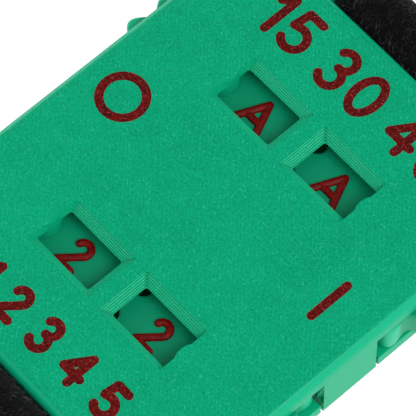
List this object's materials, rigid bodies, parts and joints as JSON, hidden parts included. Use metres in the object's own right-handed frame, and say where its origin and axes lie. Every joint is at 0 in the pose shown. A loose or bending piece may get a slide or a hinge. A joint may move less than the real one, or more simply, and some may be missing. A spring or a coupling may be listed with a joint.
{
  "type": "wrist score counter",
  "caption": "Wrist score counter: a flat printed case whose notched number wheels turn by thumb in side slots and show through windows, on a looped hook-and-loop strap.",
  "frame": {"origin": "middle of the case underside, the face that lies on the wrist", "axes": "+Z out of the case top, towards the eye; +X to the right as the numbers are read; +Y up as the numbers are read, which is along the strap"},
  "size_m": [0.0495, 0.0688, 0.0487],
  "materials": {
    "case_green": "printed in thin layers, fine grainy top skin, satin rounded edge",
    "wheel_green": "printed, smoother than the case",
    "numeral_red": "printed, fine grain",
    "spring_steel": "rolled strip",
    "screw_steel": "zinc plated",
    "strap_black": "hook-and-loop tape, looped pile outside"
  },
  "bodies": {
    "case": {"top_cover": "case_green", "base_plate": "case_green", "strap": "strap_black", "points_screw_left": "screw_steel", "points_screw_right": "screw_steel", "games_screw_left": "screw_steel", "games_screw_right": "screw_steel", "top_row_numeral_1": "numeral_red", "top_row_numeral_2": "numeral_red", "top_row_numeral_3": "numeral_red", "top_row_numeral_4": "numeral_red", "top_row_numeral_5": "numeral_red", "top_row_numeral_6": "numeral_red", "bottom_row_numeral_1": "numeral_red", "bottom_row_numeral_2": "numeral_red", "bottom_row_numeral_3": "numeral_red", "bottom_row_numeral_4": "numeral_red", "bottom_row_numeral_5": "numeral_red", "ring_mark": "numeral_red", "bar_mark": "numeral_red"},
    "points_wheel_left": {"points_wheel_left": "wheel_green", "points_wheel_left_numeral_0": "numeral_red", "points_wheel_left_numeral_15_1": "numeral_red", "points_wheel_left_numeral_15_2": "numeral_red", "points_wheel_left_numeral_30_1": "numeral_red", "points_wheel_left_numeral_30_2": "numeral_red", "points_wheel_left_numeral_40_1": "numeral_red", "points_wheel_left_numeral_40_2": "numeral_red", "points_wheel_left_numeral_A": "numeral_red"},
    "points_wheel_right": {"points_wheel_right": "wheel_green", "points_wheel_right_numeral_0": "numeral_red", "points_wheel_right_numeral_15_1": "numeral_red", "points_wheel_right_numeral_15_2": "numeral_red", "points_wheel_right_numeral_30_1": "numeral_red", "points_wheel_right_numeral_30_2": "numeral_red", "points_wheel_right_numeral_40_1": "numeral_red", "points_wheel_right_numeral_40_2": "numeral_red", "points_wheel_right_numeral_A": "numeral_red"},
    "games_wheel_left": {"games_wheel_left": "wheel_green", "games_wheel_left_numeral_0": "numeral_red", "games_wheel_left_numeral_1": "numeral_red", "games_wheel_left_numeral_2": "numeral_red", "games_wheel_left_numeral_3": "numeral_red", "games_wheel_left_numeral_4": "numeral_red", "games_wheel_left_numeral_5": "numeral_red", "games_wheel_left_numeral_6": "numeral_red"},
    "games_wheel_right": {"games_wheel_right": "wheel_green", "games_wheel_right_numeral_0": "numeral_red", "games_wheel_right_numeral_1": "numeral_red", "games_wheel_right_numeral_2": "numeral_red", "games_wheel_right_numeral_3": "numeral_red", "games_wheel_right_numeral_4": "numeral_red", "games_wheel_right_numeral_5": "numeral_red", "games_wheel_right_numeral_6": "numeral_red"},
    "points_click_spring_left": {"points_click_spring_left": "spring_steel"},
    "points_click_spring_right": {"points_click_spring_right": "spring_steel"},
    "games_click_spring_left": {"games_click_spring_left": "spring_steel"},
    "games_click_spring_right": {"games_click_spring_right": "spring_steel"}
  },
  "joints": [
    {"name": "points_wheel_turn_left", "type": "hinge", "parent": "case", "child": "points_wheel_left", "pos_m": [-0.0125, 0.0129, 0.0039], "axis": [0, 0, 1], "continuous": true},
    {"name": "points_wheel_turn_right", "type": "hinge", "parent": "case", "child": "points_wheel_right", "pos_m": [0.0125, 0.0129, 0.0039], "axis": [0, 0, 1], "continuous": true},
    {"name": "games_wheel_turn_left", "type": "hinge", "parent": "case", "child": "games_wheel_left", "pos_m": [-0.0125, -0.0129, 0.0039], "axis": [0, 0, 1], "continuous": true},
    {"name": "games_wheel_turn_right", "type": "hinge", "parent": "case", "child": "games_wheel_right", "pos_m": [0.0125, -0.0129, 0.0039], "axis": [0, 0, 1], "continuous": true},
    {"name": "points_click_spring_flex_left", "type": "hinge", "parent": "case", "child": "points_click_spring_left", "pos_m": [-0.0065, 0.0039, 0.0011], "axis": [0, -1, 0], "range_deg": [0, 2.5], "stiffness_Nm_per_rad": 0.05},
    {"name": "points_click_spring_flex_right", "type": "hinge", "parent": "case", "child": "points_click_spring_right", "pos_m": [0.0065, 0.0039, 0.0011], "axis": [0, 1, 0], "range_deg": [0, 2.5], "stiffness_Nm_per_rad": 0.05},
    {"name": "games_click_spring_flex_left", "type": "hinge", "parent": "case", "child": "games_click_spring_left", "pos_m": [-0.0065, -0.0039, 0.0011], "axis": [0, -1, 0], "range_deg": [0, 2.5], "stiffness_Nm_per_rad": 0.05},
    {"name": "games_click_spring_flex_right", "type": "hinge", "parent": "case", "child": "games_click_spring_right", "pos_m": [0.0065, -0.0039, 0.0011], "axis": [0, 1, 0], "range_deg": [0, 2.5], "stiffness_Nm_per_rad": 0.05}
  ]
}
